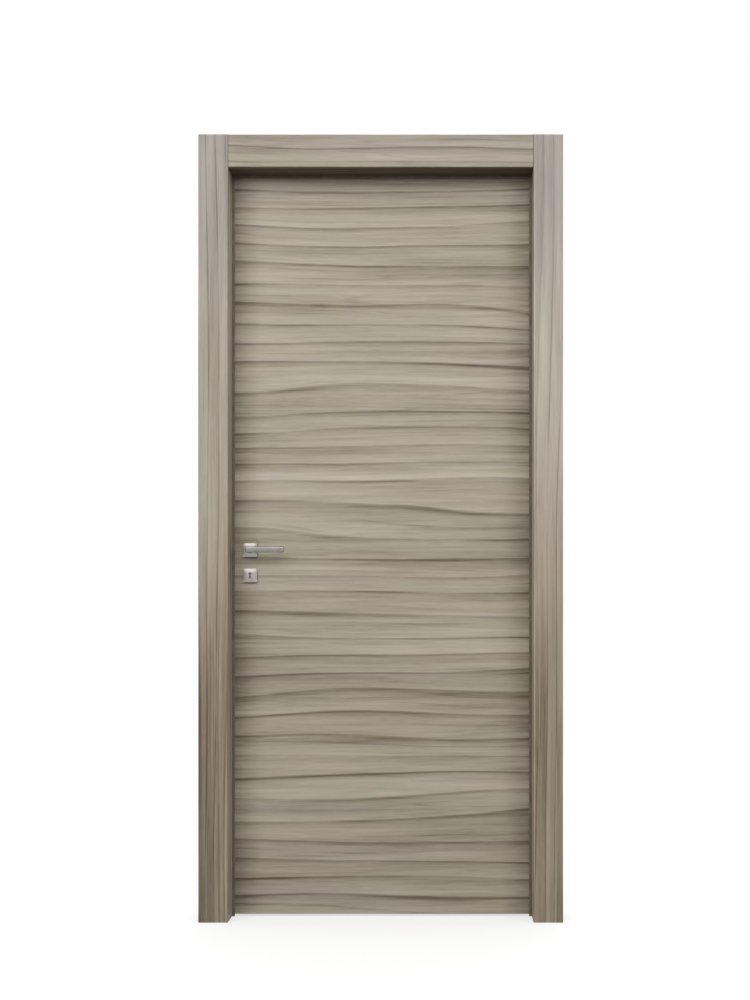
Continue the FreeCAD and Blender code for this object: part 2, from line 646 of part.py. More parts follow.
def front_lever():
    """The front lever: a flat bar with an elbow, and a round neck with a square socket."""
    bar = Part.Face(lever_outline()).extrude(Z_AXIS * LEVER_BAR_HEIGHT)
    tip_x = HANDLE_X + LEVER_REACH
    tip_edges = edges_along(bar, Z_AXIS, lambda middle: abs(middle.x - tip_x) < ON_PLANE)
    bar = bar.makeChamfer(LEVER_EDGE_CHAMFER, tip_edges)
    low = HANDLE_HEIGHT - LEVER_BAR_HEIGHT / 2
    high = HANDLE_HEIGHT + LEVER_BAR_HEIGHT / 2
    foot = LEAF_FRONT_Y - ROSETTE_HEIGHT - NECK_RUNNING_CLEARANCE
    rims = []
    for edge in bar.Edges:
        middle = edge.CenterOfMass
        on_rim = abs(middle.z - low) < ON_PLANE or abs(middle.z - high) < ON_PLANE
        if on_rim and abs(middle.y - foot) > ON_PLANE:
            rims.append(edge)
    bar = bar.makeChamfer(LEVER_EDGE_CHAMFER, rims)
    neck = Part.makeCylinder(NECK_RADIUS, LEAF_FRONT_Y - NECK_TO_LEAF - foot,
                             FreeCAD.Vector(HANDLE_X, foot, HANDLE_HEIGHT), Y_AXIS)
    socket = spindle_bar(SPINDLE_FIT, (LEAF_FRONT_Y - SPINDLE_REACH - SOCKET_END_CLEARANCE,
                                       LEAF_FRONT_Y))
    return bar.fuse(neck).removeSplitter().cut(socket)


def to_rear(shape):
    """A piece on the front of the leaf, mirrored to its rear."""
    return shape.mirror(FreeCAD.Vector(0, LEAF_MIDDLE_Y, 0), Y_AXIS)


def handles():
    """The front and rear plates and levers, and the spindle that joins the levers."""
    ends = (LEAF_FRONT_Y - SPINDLE_REACH, LEAF_REAR_Y + SPINDLE_REACH)
    return {
        "front_rosette": front_rosette(),
        "rear_rosette": to_rear(front_rosette()),
        "front_key_plate": front_key_plate(),
        "rear_key_plate": to_rear(front_key_plate()),
        "front_lever": front_lever(),
        "rear_lever": to_rear(front_lever()),
        "spindle": spindle_bar(0, ends),
    }


def main():
    """Build every piece and write it to its own file."""
    os.makedirs("parts", exist_ok=True)
    pieces = {}
    for group in (jambs, stops, front_architraves, rear_architraves, seals, strike, hinges, leaf,
                  lock, handles):
        pieces.update(group())
    for name, shape in pieces.items():
        shape.exportStep(f"parts/{name}.step")


main()
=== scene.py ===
"""Dress a flush door and its frame, and set the studio round them.

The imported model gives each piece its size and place. This script adds the finishes and the small
things: a greige laminate with its grain across the leaf and along the frame, ribbed seals, satin
lever handles, hinge and lock screws, soft light and the camera.
"""
import logging
import math
from collections.abc import Callable, Sequence
from dataclasses import dataclass
from enum import Enum

import bmesh
import bpy
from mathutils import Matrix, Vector

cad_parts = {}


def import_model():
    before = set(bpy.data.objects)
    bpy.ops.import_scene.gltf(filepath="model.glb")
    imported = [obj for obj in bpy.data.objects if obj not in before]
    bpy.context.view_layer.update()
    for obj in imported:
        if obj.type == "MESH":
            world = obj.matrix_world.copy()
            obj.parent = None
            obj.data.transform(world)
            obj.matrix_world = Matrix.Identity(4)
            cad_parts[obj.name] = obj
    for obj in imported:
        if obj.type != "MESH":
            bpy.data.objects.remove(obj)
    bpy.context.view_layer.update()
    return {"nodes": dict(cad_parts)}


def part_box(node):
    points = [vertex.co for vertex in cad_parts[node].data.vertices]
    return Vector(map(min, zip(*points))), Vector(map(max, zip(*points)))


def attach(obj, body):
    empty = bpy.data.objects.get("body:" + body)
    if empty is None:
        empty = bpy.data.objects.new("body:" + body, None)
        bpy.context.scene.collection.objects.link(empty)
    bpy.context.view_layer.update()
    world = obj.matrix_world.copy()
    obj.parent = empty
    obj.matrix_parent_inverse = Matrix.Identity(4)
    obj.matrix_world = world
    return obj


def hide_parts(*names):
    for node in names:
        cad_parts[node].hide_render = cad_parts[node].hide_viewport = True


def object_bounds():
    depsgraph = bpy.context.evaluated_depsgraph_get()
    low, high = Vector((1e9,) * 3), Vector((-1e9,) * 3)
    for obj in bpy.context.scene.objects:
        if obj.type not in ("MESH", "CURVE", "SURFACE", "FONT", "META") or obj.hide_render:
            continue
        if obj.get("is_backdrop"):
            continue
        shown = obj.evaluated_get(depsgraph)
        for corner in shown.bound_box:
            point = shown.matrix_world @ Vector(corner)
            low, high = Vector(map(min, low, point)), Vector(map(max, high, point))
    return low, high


LOG = logging.getLogger("flush_door")
MM = 0.001

Socket = bpy.types.NodeSocket
Value = float | Socket
Point = tuple[float, float]
Tint = tuple[float, float, float, float]
Stops = tuple[tuple[float, tuple[int, int, int]], ...]


class Body(Enum):
    """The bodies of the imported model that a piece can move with."""

    FRAME = "frame"
    LEAF = "leaf"
    LEVERS = "levers"


class Grain(Enum):
    """The way a board's grain runs: its axis, then the two axes across it."""

    LEVEL = (0, 2, 1)
    UPRIGHT = (2, 0, 1)


class Side(Enum):
    """The two sides of the door, by the way that each looks along the depth."""

    FRONT = -1
    REAR = 1

    def named(self, part: str) -> str:
        """Name the solid of a part on this side."""
        return f"{self.name.lower()}_{part}"

    def outer(self, node: str) -> float:
        """Find the depth of the face of a solid that looks out on this side."""
        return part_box(node)[max(0, self.value)].y

    def inner(self, node: str) -> float:
        """Find the depth of the opposite face of a solid."""
        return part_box(node)[max(0, -self.value)].y


def linear(red: int, green: int, blue: int) -> Tint:
    """Turn a display colour into the linear one that the shaders take.

    Args:
        red: Red from 0 to 255.
        green: Green from 0 to 255.
        blue: Blue from 0 to 255.

    Returns:
        The linear colour with an alpha of 1.
    """
    channels = []
    for channel in (red, green, blue):
        share = channel / 255
        dark = share <= 0.04045
        channels.append(share / 12.92 if dark else ((share + 0.055) / 1.055) ** 2.4)
    return (channels[0], channels[1], channels[2], 1.0)


class Graph:
    """The nodes of a material or a world, made one call at a time."""

    def __init__(self, owner: bpy.types.Material | bpy.types.World) -> None:
        """Empty the nodes of a new material or world.

        Args:
            owner: The material or world.
        """
        self.owner = owner
        owner.use_nodes = True
        self.tree = owner.node_tree
        self.tree.nodes.clear()

    @classmethod
    def named(cls, name: str) -> "Graph":
        """Start an empty material with a name."""
        return cls(bpy.data.materials.new(name))

    def add(self, kind: str, inputs: dict[str | int, object] | None = None,
            **settings: object) -> bpy.types.Node:
        """Add a node, set it up and feed its inputs.

        Args:
            kind: The node's type without its "ShaderNode" prefix.
            inputs: Values or sockets for the inputs, by name or number.
            **settings: The node's own properties.

        Returns:
            The new node.
        """
        node = self.tree.nodes.new("ShaderNode" + kind)
        for key, value in settings.items():
            setattr(node, key, value)
        for key, value in (inputs or {}).items():
            if isinstance(value, Socket):
                self.tree.links.new(value, node.inputs[key])
            else:
                node.inputs[key].default_value = value
        return node

    def place(self) -> Socket:
        """Give the coordinates of the object, in metres."""
        return self.add("TexCoord").outputs["Object"]

    def axes(self, place: Socket) -> Sequence[Socket]:
        """Split a place into its three coordinates."""
        return self.add("SeparateXYZ", {0: place}).outputs

    def math(self, operation: str, *values: Value) -> Socket:
        """Work out one number from others by a named operation."""
        return self.add("Math", dict(enumerate(values)), operation=operation).outputs[0]

    def smooth(self, value: Value, low: float, high: float, start: float = 0.0,
               end: float = 1.0) -> Socket:
        """Ease a number between low and high into one between start and end."""
        inputs = {0: value, 1: low, 2: high, 3: start, 4: end}
        return self.add("MapRange", inputs, interpolation_type="SMOOTHSTEP").outputs[0]

    def noise(self, place: Socket, stretch: Sequence[float], seed: float, detail: float = 2.0,
              roughness: float = 0.5) -> Socket:
        """Sample a stretched noise.

        Args:
            place: The place to sample.
            stretch: Waves in a metre along each of the place's axes.
            seed: A shift that makes this noise its own.
            detail: Octaves.
            roughness: How strong the finer octaves are.

        Returns:
            The socket of a number about 0.5.
        """
        inputs = {0: place, 1: tuple(stretch), 2: (seed, seed * 0.7, seed * 1.3)}
        moved = self.add("VectorMath", inputs, operation="MULTIPLY_ADD").outputs[0]
        inputs = {"Vector": moved, "Scale": 1.0, "Detail": detail, "Roughness": roughness}
        return self.add("TexNoise", inputs).outputs[0]

    def blend(self, factor: Value, first: object, second: object, mode: str = "MIX") -> Socket:
        """Mix a share of the second colour into the first."""
        inputs = {0: factor, 6: first, 7: second}
        return self.add("Mix", inputs, data_type="RGBA", blend_type=mode).outputs[2]

    def ramp(self, factor: Socket, stops: Stops) -> Socket:
        """Pick a colour along a scale.

        Args:
            factor: The place on the scale.
            stops: Places and display colours.

        Returns:
            The socket of the colour.
        """
        node = self.add("ValToRGB", {0: factor})
        elements = node.color_ramp.elements
        while len(elements) < len(stops):
            elements.new(1.0)
        for element, (place, colour) in zip(elements, stops):
            element.position = place
            element.color = linear(*colour)
        return node.outputs[0]

    def bump(self, height: Socket, depth: float, strength: float = 1.0) -> Socket:
        """Turn a height from 0 to 1 into a normal, for a full height of depth metres."""
        inputs = {"Height": height, "Distance": depth, "Strength": strength}
        return self.add("Bump", inputs).outputs[0]

    def finish(self, inputs: dict[str | int, object]) -> bpy.types.Material:
        """End the material in a principled shader.

        Args:
            inputs: The shader's inputs.

        Returns:
            The finished material.
        """
        shader = self.add("BsdfPrincipled", inputs)
        self.add("OutputMaterial", {"Surface": shader.outputs[0]})
        return self.owner


@dataclass(frozen=True)
class Cut:
    """A plane past which a laminated board shows its bare core."""

    axis: int
    place: float
    above: bool = True

    def mask(self, graph: Graph, axes: Sequence[Socket]) -> Socket:
        """Give 1 past the plane and 0 before it."""
        operation = "GREATER_THAN" if self.above else "LESS_THAN"
        return graph.math(operation, axes[self.axis], self.place)


@dataclass(frozen=True)
class Waves:
    """A noise drawn out along the grain.

    It has so many waves in a metre along the grain and across it, and a shift that sets it apart.
    A fade rises from its floor to 1 between its low and high marks.
    """

    along: float
    across: float
    shift: float
    detail: float = 2.0
    roughness: float = 0.5
    strength: float = 1.0
    low: float = 0.0
    high: float = 1.0
    floor: float = 0.0

    def noise(self, graph: Graph, place: Socket, seed: float) -> Socket:
        """Sample the noise about 0.5."""
        return graph.noise(place, (self.along, self.across, 0), seed + self.shift, self.detail,
                           self.roughness)

    def swing(self, graph: Graph, place: Socket, seed: float) -> Socket:
        """Sample the noise about 0."""
        return graph.math("SUBTRACT", self.noise(graph, place, seed), 0.5)

    def fade(self, graph: Graph, place: Socket, seed: float) -> Socket:
        """Ease the noise from its floor to 1 between its marks."""
        return graph.smooth(self.noise(graph, place, seed), self.low, self.high, self.floor)


@dataclass(frozen=True)
class Laminate:
    """A matt greige wood-print laminate on fibreboard.

    The print is a stack of rings across the board, bent by a wide sway and a ripple. Each ring
    ends in a dark line, with fainter lines and veins between and streaks over all. The lower part
    of a side architrave has a dark heart.
    """

    name: str
    grain: Grain
    seed: float
    ring_pitch: float = 0.058
    sway: float = 0.036
    spread: float = 2.4
    lines: float = 0.32
    rings: float = 0.24
    streaks: float = 1.0
    shade: float = 0.0
    heart: float = 0.0
    wash: Tint = (1.0, 1.0, 1.0, 1.0)
    # Painted shade past one face: how much darker, and the cut that marks that face.
    painted_face_shade: float = 0.55
    painted_shade_cut: Cut | None = None
    # Painted shade near both ends of the grain's run: how much darker, and how far in.
    painted_edge_shade: float = 0.0
    edge_shade_width: float = 0.105
    joint: float = 0.0
    joint_colour: tuple[int, int, int] = (84, 74, 63)
    ends: tuple[float, float] = (0.0, 0.0)
    cuts: tuple[Cut, ...] = ()
    depth_skew: float = 0.8
    middle_tone: float = 0.60
    ring_lift: float = 0.36
    ripple_share: float = 0.12
    ring_line_start: float = 0.76
    inner_line_start: float = 0.60
    inner_rings: float = 2.3
    inner_strength: float = 0.6
    vein_strength: float = 0.38
    vein_width: float = 0.035
    line_peak: float = 0.94
    line_fall: float = 0.92
    line_power: float = 1.6
    heart_heights: tuple[float, float] = (1.22, 0.38)
    wide_sway: Waves = Waves(0.8, 2.6, 0, 1.0)
    ripple: Waves = Waves(3.6, 15, 1, 1.0)
    crowding: Waves = Waves(0.8, 5.0, 2, 1.0)
    ring_fade: Waves = Waves(2.0, 15, 3, low=0.37, high=0.66, floor=0.10)
    inner_fade: Waves = Waves(2.4, 24, 4, low=0.42, high=0.68)
    veins: Waves = Waves(1.6, 44, 10, 1.0)
    vein_fade: Waves = Waves(2.4, 16, 11, 1.0, low=0.44, high=0.62)
    heart_bands: Waves = Waves(0.5, 70, 12, low=0.38, high=0.60, floor=0.45)
    warm_patches: Waves = Waves(1.6, 10, 8, low=0.36, high=0.66)
    grey_patches: Waves = Waves(1.1, 14, 14, low=0.50, high=0.72)
    texture: Waves = Waves(18, 900, 9)
    streak_layers: tuple[Waves, ...] = (
        Waves(0.7, 9, 5, 2.0, 0.5, 0.78), Waves(2.2, 60, 6, 3.0, 0.62, 0.82),
        Waves(24, 300, 7, 2.0, 0.55, 0.26), Waves(70, 1500, 15, 2.0, 0.6, 0.16))
    warm_tints: tuple[Tint, Tint] = ((0.988, 0.999, 0.952, 1), (1.028, 0.984, 0.982, 1))
    grey_tints: tuple[Tint, Tint] = ((0.998, 1.0, 0.99, 1), (1.0, 0.995, 1.04, 1))
    middle_tint: Tint = (1.08, 1.10, 1.13, 1)
    top_tint: Tint = (0.90, 0.91, 1.03, 1)
    top_heights: tuple[float, float] = (1.5, 2.05)
    foot_tint: Tint = (1.03, 0.975, 0.96, 1)
    foot_heights: tuple[float, float] = (1.4, 0.8)
    colours: Stops = ((0.0, (101, 91, 77)), (0.25, (134, 126, 110)), (0.5, (163, 155, 140)),
                      (0.75, (183, 175, 160)), (1.0, (200, 193, 178)))
    core_colours: Stops = ((0.3, (146, 118, 86)), (0.7, (188, 162, 128)))
    roughness: tuple[float, float] = (0.56, 0.47)
    core_roughness: float = 0.85
    relief: float = 0.12 * MM
    relief_strength: float = 0.25
    gloss: float = 0.2

    def material(self) -> bpy.types.Material:
        """Make the material.

        Returns:
            The laminate, with the bare board past each cut.
        """
        graph = Graph.named(self.name)
        origin = graph.place()
        axes = graph.axes(origin)
        along, across, depth = (axes[index] for index in self.grain.value)
        across = graph.math("ADD", across, graph.math("MULTIPLY", depth, self.depth_skew))
        place = graph.add("CombineXYZ", {0: along, 1: across}).outputs[0]
        tone = self._tone(graph, place)
        # Painted shade: the print darkens past the marked face, the underside of the head.
        if self.painted_shade_cut:
            mask = self.painted_shade_cut.mask(graph, axes)
            tone = graph.math("MULTIPLY_ADD", mask, -self.painted_face_shade, tone)
        # Painted shade: the print darkens towards both ends of its run, which on the leaf skins
        # are the side edges that the frame shades.
        if self.painted_edge_shade:
            edge_shade = self._near_ends(graph, along, self.edge_shade_width)
            tone = graph.math("MULTIPLY_ADD", edge_shade, -self.painted_edge_shade, tone)
        colour = self._tint(graph, place, graph.ramp(tone, self.colours))
        fine = self.texture.noise(graph, place, self.seed)
        normal = graph.bump(graph.math("ADD", tone, fine), self.relief, self.relief_strength)
        roughness = graph.smooth(tone, 0.2, 0.9, *self.roughness)
        if self.joint:
            dark = self._near_ends(graph, along, self.joint)
            colour = graph.blend(dark, colour, linear(*self.joint_colour))
        if self.cuts:
            bare = self.cuts[0].mask(graph, axes)
            for cut in self.cuts[1:]:
                bare = graph.math("MAXIMUM", bare, cut.mask(graph, axes))
            specks = graph.noise(origin, (900, 900, 900), self.seed + 20, 3.0, 0.7)
            colour = graph.blend(bare, colour, graph.ramp(specks, self.core_colours))
            rough = graph.math("MULTIPLY", bare, self.core_roughness)
            roughness = graph.math("MAXIMUM", roughness, rough)
        return graph.finish({"Base Color": colour, "Roughness": roughness, "Normal": normal,
                             "Specular IOR Level": self.gloss})

    def _tone(self, graph: Graph, place: Socket) -> Socket:
        """Draw the grain as one number.

        Args:
            graph: The material's nodes.
            place: Metres along the grain and across it.

        Returns:
            The socket of the tone, dark at 0 and light at 1.
        """
        along, across = graph.axes(place)[:2]
        moved = graph.math("MULTIPLY_ADD", self.wide_sway.swing(graph, place, self.seed),
                           self.sway, across)
        moved = graph.math("MULTIPLY_ADD", self.ripple.swing(graph, place, self.seed),
                           self.sway * self.ripple_share, moved)
        crowd = self.crowding.swing(graph, place, self.seed)
        height = graph.math("MULTIPLY_ADD", moved, 1 / self.ring_pitch,
                            graph.math("MULTIPLY", crowd, self.spread))
        flow = graph.add("CombineXYZ", {0: along, 1: moved}).outputs[0]
        ring = graph.math("FRACT", height)
        inner = graph.math("FRACT", graph.math("MULTIPLY_ADD", height, self.inner_rings, crowd))
        vein = graph.math("ABSOLUTE", self.veins.swing(graph, flow, self.seed))
        marks = (
            (self._line(graph, ring, self.ring_line_start), self.ring_fade, 1.0),
            (self._line(graph, inner, self.inner_line_start), self.inner_fade,
             self.inner_strength),
            (graph.smooth(vein, 0.0, self.vein_width, 1.0, 0.0), self.vein_fade,
             self.vein_strength),
        )
        slope = graph.math("MULTIPLY", graph.math("POWER", ring, 2.0), -self.rings)
        tone = graph.math("ADD", slope,
                          self.middle_tone - self.shade + self.rings * self.ring_lift)
        for mark, fade, strength in marks:
            shown = graph.math("MULTIPLY", fade.fade(graph, flow, self.seed),
                               -self.lines * strength)
            tone = graph.math("MULTIPLY_ADD", mark, shown, tone)
        for layer in self.streak_layers:
            tone = graph.math("MULTIPLY_ADD", layer.swing(graph, flow, self.seed),
                              layer.strength * self.streaks, tone)
        if self.heart:
            heart = graph.math("MULTIPLY", graph.smooth(along, *self.heart_heights),
                               self.heart_bands.fade(graph, place, self.seed))
            tone = graph.math("MULTIPLY_ADD", heart, -self.heart, tone)
        return tone

    def _line(self, graph: Graph, ring: Socket, start: float) -> Socket:
        """Darken the end of each ring.

        Args:
            graph: The material's nodes.
            ring: The place within the ring, from 0 to 1.
            start: Where the darkening starts.

        Returns:
            The socket of the line's strength.
        """
        rise = graph.math("POWER", graph.smooth(ring, start, self.line_peak), self.line_power)
        return graph.math("MULTIPLY", rise, graph.smooth(ring, self.line_fall, 1.0, 1.0, 0.0))

    def _near_ends(self, graph: Graph, along: Socket, reach: float) -> Socket:
        """Mark the two ends of the grain's run.

        Args:
            graph: The material's nodes.
            along: Metres along the grain.
            reach: How far in from each end the mark fades out.

        Returns:
            The socket of 1 at the ends and 0 past the reach.
        """
        first, last = self.ends
        middle, half = (first + last) / 2, (last - first) / 2
        inside = graph.math("ABSOLUTE", graph.math("SUBTRACT", along, middle))
        return graph.smooth(inside, half - reach, half)

    def _tint(self, graph: Graph, place: Socket, colour: Socket) -> Socket:
        """Lay faint warm, cool and grey patches over the grain.

        A board with a heart is also lighter in its middle, darker and bluer at its top and warmer
        at its foot.

        Args:
            graph: The material's nodes.
            place: Metres along the grain and across it.
            colour: The grain's colour.

        Returns:
            The socket of the tinted colour.
        """
        patches = ((self.warm_patches, self.warm_tints), (self.grey_patches, self.grey_tints))
        tints = [graph.blend(waves.fade(graph, place, self.seed), *pair)
                 for waves, pair in patches]
        tints.append(self.wash)
        if self.heart:
            height = graph.axes(place)[0]
            tint = graph.blend(graph.smooth(height, *self.top_heights), self.middle_tint,
                               self.top_tint)
            tints.append(graph.blend(graph.smooth(height, *self.foot_heights), tint,
                                     self.foot_tint))
        for tint in tints:
            colour = graph.blend(1.0, colour, tint, "MULTIPLY")
        return colour


@dataclass(frozen=True)
class SatinMetal:
    """A satin metal with fine brush marks along one axis."""

    name: str
    colour: tuple[int, int, int]
    roughness: float = 0.34
    brush: tuple[float, float, float] = (60, 900, 900)
    lightest: int = 14
    darkest: int = 16
    roughness_range: float = 0.14

    def material(self) -> bpy.types.Material:
        """Make the material.

        Returns:
            The metal.
        """
        graph = Graph.named(self.name)
        origin = graph.place()
        marks = graph.noise(origin, self.brush, 3.0, 2.0, 0.6)
        wear = graph.noise(origin, (45, 45, 45), 7.0, 3.0, 0.6)
        light = tuple(min(255, channel + self.lightest) for channel in self.colour)
        dark = tuple(channel - self.darkest for channel in self.colour)
        tone = graph.math("MULTIPLY_ADD", wear, 0.5, graph.math("MULTIPLY", marks, 0.5))
        roughness = graph.math("MULTIPLY_ADD", marks, self.roughness_range,
                               self.roughness - self.roughness_range / 2)
        return graph.finish({"Base Color": graph.ramp(tone, ((0.35, dark), (0.65, light))),
                             "Metallic": 1.0, "Roughness": roughness,
                             "Normal": graph.bump(marks, 0.04 * MM, 0.5)})


@dataclass(frozen=True)
class SealRubber:
    """A dark brown extruded seal, slightly dusty along its length."""

    name: str = "brown_seal_rubber"

    def material(self) -> bpy.types.Material:
        """Make the material.

        Returns:
            The rubber.
        """
        graph = Graph.named(self.name)
        origin = graph.place()
        dust = graph.noise(origin, (30, 120, 30), 2.0, 3.0, 0.6)
        grain = graph.noise(origin, (1500, 1500, 1500), 5.0, 2.0)
        colour = graph.ramp(dust, ((0.35, (106, 95, 81)), (0.7, (124, 113, 98))))
        return graph.finish({"Base Color": colour, "Roughness": 0.62,
                             "Normal": graph.bump(grain, 0.05 * MM, 0.4),
                             "Specular IOR Level": 0.3})


@dataclass(frozen=True)
class Softwood:
    """Planed softwood with narrow rings."""

    name: str
    grain: Grain

    def material(self) -> bpy.types.Material:
        """Make the material.

        Returns:
            The wood.
        """
        graph = Graph.named(self.name)
        axes = graph.axes(graph.place())
        along, across, depth = (axes[index] for index in self.grain.value)
        place = graph.add("CombineXYZ", {0: along, 1: across, 2: depth}).outputs[0]
        rings = graph.noise(place, (1.2, 130, 90), 4.0, 2.0, 0.5)
        fibre = graph.noise(place, (20, 900, 900), 6.0, 2.0)
        tone = graph.math("MULTIPLY_ADD", fibre, 0.3, graph.math("MULTIPLY", rings, 0.7))
        colour = graph.ramp(tone, ((0.35, (176, 136, 88)), (0.5, (208, 176, 128)),
                                   (0.7, (224, 198, 154))))
        return graph.finish({"Base Color": colour, "Roughness": 0.7,
                             "Normal": graph.bump(tone, 0.2 * MM, 0.4)})


@dataclass(frozen=True)
class CoreBoard:
    """The brown paper board of the core's cells."""

    name: str = "core_board"

    def material(self) -> bpy.types.Material:
        """Make the material.

        Returns:
            The paper board.
        """
        graph = Graph.named(self.name)
        pulp = graph.noise(graph.place(), (300, 300, 300), 4.0, 3.0, 0.7)
        colour = graph.ramp(pulp, ((0.3, (150, 120, 86)), (0.7, (184, 154, 116))))
        return graph.finish({"Base Color": colour, "Roughness": 0.9,
                             "Normal": graph.bump(pulp, 0.2 * MM, 0.5)})


def dress(piece: bpy.types.Object, material: bpy.types.Material) -> None:
    """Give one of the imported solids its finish.

    Args:
        piece: The solid.
        material: Its material.
    """
    piece.data.materials.clear()
    piece.data.materials.append(material)
    LOG.info("%s: %s", piece.name, material.name)


def new_piece(name: str, mesh: bmesh.types.BMesh, finish: bpy.types.Material,
              body: Body, smooth_degrees: float = 35.0) -> bpy.types.Object:
    """Turn a mesh into a finished piece that moves with a body.

    Args:
        name: The piece's name.
        mesh: The mesh, which is freed.
        finish: The piece's material.
        body: The body it moves with.
        smooth_degrees: Edges sharper than this stay crisp.

    Returns:
        The new object.
    """
    bmesh.ops.recalc_face_normals(mesh, faces=mesh.faces)
    data = bpy.data.meshes.new(name)
    mesh.to_mesh(data)
    mesh.free()
    data.shade_smooth()
    data.set_sharp_from_angle(angle=math.radians(smooth_degrees))
    data.materials.append(finish)
    piece = bpy.data.objects.new(name, data)
    bpy.context.scene.collection.objects.link(piece)
    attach(piece, body.value)
    LOG.info("%s: %d faces on %s", name, len(data.polygons), body.value)
    return piece


def add_walls(mesh: bmesh.types.BMesh, rings: Sequence[Sequence[Vector]],
              pierced: bool = False) -> list[list[bmesh.types.BMVert]]:
    """Bridge a row of rings of equal count.

    Args:
        mesh: The mesh to add to.
        rings: The rings, in order.
        pierced: Whether the last ring joins the first one, which leaves a hole through.

    Returns:
        The corners of each ring.
    """
    loops = [[mesh.verts.new(point) for point in ring] for ring in rings]
    count = len(loops[0])
    for first, second in zip(loops, loops[1:] + loops[:1] if pierced else loops[1:]):
        for index in range(count):
            after = (index + 1) % count
            mesh.faces.new((first[index], first[after], second[after], second[index]))
    return loops


def add_loft(mesh: bmesh.types.BMesh, rings: Sequence[Sequence[Vector]]) -> None:
    """Bridge a row of rings of equal count and close both ends with fans.

    Args:
        mesh: The mesh to add to.
        rings: The rings, in order.
    """
    loops = add_walls(mesh, rings)
    for loop in (loops[0], loops[-1]):
        count = len(loop)
        centre = mesh.verts.new(sum((vertex.co for vertex in loop), Vector()) / count)
        for index in range(count):
            mesh.faces.new((loop[index], loop[(index + 1) % count], centre))


def outline(count: int, reach: Callable[[float], float]) -> list[Point]:
    """Draw a closed outline about a middle.

    Args:
        count: Points round it.
        reach: What gives the distance out at an angle.

    Returns:
        The points, starting on the first axis.
    """
    angles = [math.tau * index / count for index in range(count)]
    return [(math.cos(angle) * reach(angle), math.sin(angle) * reach(angle)) for angle in angles]


def squircle(half: float, power: float, count: int) -> list[Point]:
    """Draw a square with soft corners, or a circle at a power of 2.

    Args:
        half: Half its width.
        power: How square it is.
        count: Points round it.

    Returns:
        The points, starting on the first axis.
    """
    return outline(count, lambda angle: half / (
        abs(math.cos(angle)) ** power + abs(math.sin(angle)) ** power) ** (1 / power))


@dataclass
class HandlePlates:
    """The four square plates round the levers and the keyholes."""

    metal: bpy.types.Material
    shadow: bpy.types.Material
    skirt: float = 6.0 * MM
    edge_round: float = 0.25 * MM
    edge_rise: float = 0.4 * MM
    inner_half: float = 9.6 * MM
    corner_power: float = 22.0
    corner_easing: float = 8.0
    dome_power: float = 5.0
    dome_steps: int = 9
    points: int = 160
    crease: float = 28.0
    hole_lip: float = 1.03
    hole_drop: float = 0.25 * MM
    hollow: float = 0.2 * MM
    keyhole_radius: float = 4.0 * MM
    keyhole_half_slot: float = 1.7 * MM
    keyhole_slot: float = 13.0 * MM
    keyhole_rise: float = 5.0 * MM
    neck_clearance: float = 0.3 * MM
    neck_radius: float = 8.0 * MM

    def build(self) -> None:
        """Build the plates on both sides of the leaf."""
        for side in Side:
            bore = squircle(self.neck_radius + self.neck_clearance, 2.0, self.points)
            self._plate(side, "rosette", bore)
            keyhole = [(x, z + self.keyhole_rise)
                       for x, z in outline(self.points, self._keyhole)]
            self._plate(side, "key_plate", keyhole)

    def _keyhole(self, angle: float) -> float:
        """Find how far out the keyhole is at an angle.

        Args:
            angle: The angle about the middle of its round end.

        Returns:
            The distance from there.
        """
        off_slot = abs((angle + math.pi / 2 + math.pi) % math.tau - math.pi)
        if off_slot < math.atan2(self.keyhole_half_slot, self.keyhole_slot):
            return self.keyhole_slot / math.cos(off_slot)
        if off_slot < math.asin(self.keyhole_half_slot / self.keyhole_radius):
            return self.keyhole_half_slot / math.sin(off_slot)
        return self.keyhole_radius

    def _dome(self, x: float, z: float, half: float, height: float) -> float:
        """Find the height of the plate's pillowed face.

        Args:
            x: The distance across from the plate's middle.
            z: The distance up from it.
            half: Half the plate's width.
            height: The plate's height at its middle.

        Returns:
            The height over the leaf.
        """
        reach = (abs(x) ** self.dome_power + abs(z) ** self.dome_power) ** (1 / self.dome_power)
        share = max(0.0, 1 - reach / (half - self.edge_round))
        rim = self.skirt + self.edge_rise
        return rim + (height - rim) * math.sin(share * math.pi / 2)

    def _plate(self, side: Side, part: str, hole: Sequence[Point]) -> None:
        """Build one plate: a skirt, a pillowed face, its hole and a shallow hollow behind.

        Args:
            side: The side of the leaf that it is on.
            part: What it is.
            hole: The outline of its hole.
        """
        node = side.named(part)
        low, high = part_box(node)
        middle = (low + high) / 2
        height = high.y - low.y
        half = (high.x - low.x) / 2
        rim = half - self.edge_round
        square = squircle(half, self.corner_power, self.points)
        rings = [[(x, z, 0.0) for x, z in square], [(x, z, self.skirt) for x, z in square]]
        for step in range(self.dome_steps + 1):
            share = step / self.dome_steps
            around = squircle(rim + (self.inner_half - rim) * share,
                              self.corner_power - self.corner_easing * share, self.points)
            rings.append([(x, z, self._dome(x, z, half, height)) for x, z in around])
        lip = [(x * self.hole_lip, z * self.hole_lip) for x, z in hole]
        rings.append([(x, z, self._dome(x, z, half, height)) for x, z in lip])
        rings.append([(x, z, self._dome(x, z, half, height) - self.hole_drop)
                      for x, z in hole])
        rings.append([(x, z, self.hollow) for x, z in hole])
        mesh = bmesh.new()
        foot = side.inner(node)
        add_walls(mesh, [[Vector((middle.x + x, foot + side.value * rise, middle.z + z))
                          for x, z, rise in ring] for ring in rings], pierced=True)
        piece = new_piece(f"soft_{node}", mesh, self.metal, Body.LEAF,
                          self.crease)
        # Painted shade: the hole's walls and the hidden hollow behind take the dark metal, for the
        # shade inside the keyhole and the bore.
        piece.data.materials.append(self.shadow)
        for inner in piece.data.polygons[-2 * self.points:]:
            inner.material_index = 1
        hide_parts(node)


